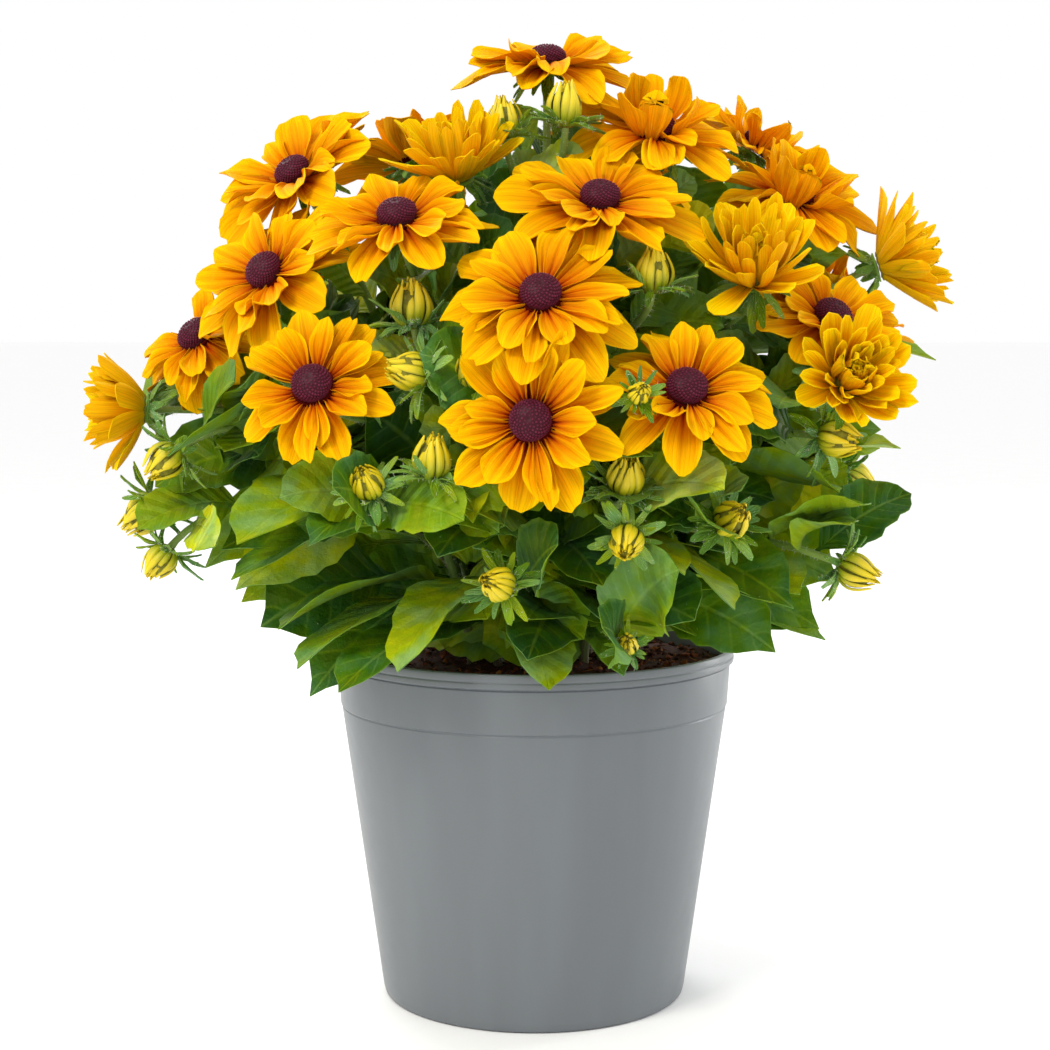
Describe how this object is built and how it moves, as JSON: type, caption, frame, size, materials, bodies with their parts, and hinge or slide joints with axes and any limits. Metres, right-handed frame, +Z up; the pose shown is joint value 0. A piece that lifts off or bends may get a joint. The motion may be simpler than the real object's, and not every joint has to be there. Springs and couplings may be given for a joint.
{
  "type": "potted black-eyed susan",
  "caption": "Bushy flowering perennial with golden semi-double daisy heads, dark domed centres, toothed leaves and closed buds, growing in a tapered grey plastic pot.",
  "frame": {"origin": "centre of the pot's underside, on the surface that the pot stands on", "axes": "+Z up along the pot's axis; the front of the plant faces -Y, and +X is to the right seen from the front"},
  "size_m": [0.3996, 0.3233, 0.4519],
  "materials": {
    "pot": "satin moulded grey plastic",
    "compost": "damp crumbly compost",
    "leaf": "hairy green leaf and stem",
    "petal": "satin golden ray petal",
    "quill": "satin yellow quilled petal",
    "disc": "fine dark florets"
  },
  "bodies": {
    "root": {"pot": "pot", "soil": "compost", "open_01_petals": "petal", "open_02_petals": "petal", "open_03_petals": "petal", "open_04_petals": "petal", "open_05_petals": "petal", "open_06_petals": "petal", "open_07_petals": "petal", "open_08_petals": "petal", "open_09_petals": "petal", "open_10_petals": "petal", "open_11_petals": "petal", "open_12_petals": "petal", "open_13_petals": "petal", "open_14_petals": "petal", "open_15_petals": "petal", "open_16_petals": "petal", "open_17_petals": "petal", "open_18_petals": "petal", "open_19_petals": "petal", "open_20_petals": "petal", "open_01_disc": "disc", "open_02_disc": "disc", "open_03_disc": "disc", "open_04_disc": "disc", "open_05_disc": "disc", "open_06_disc": "disc", "open_07_disc": "disc", "open_08_disc": "disc", "open_09_disc": "disc", "open_10_disc": "disc", "open_11_disc": "disc", "open_12_disc": "disc", "open_13_disc": "disc", "open_14_disc": "disc", "open_15_disc": "disc", "open_16_disc": "disc", "open_17_disc": "disc", "open_18_disc": "disc", "open_19_disc": "disc", "open_20_disc": "disc", "half_01": "quill", "half_02": "quill", "half_03": "quill", "half_04": "quill", "half_05": "quill", "half_06": "quill", "shoot_01": "leaf", "shoot_02": "leaf", "shoot_03": "leaf", "shoot_04": "leaf", "shoot_05": "leaf", "shoot_06": "leaf", "shoot_07": "leaf", "shoot_08": "leaf", "shoot_09": "leaf", "shoot_10": "leaf", "shoot_11": "leaf", "shoot_12": "leaf"}
  },
  "joints": []
}
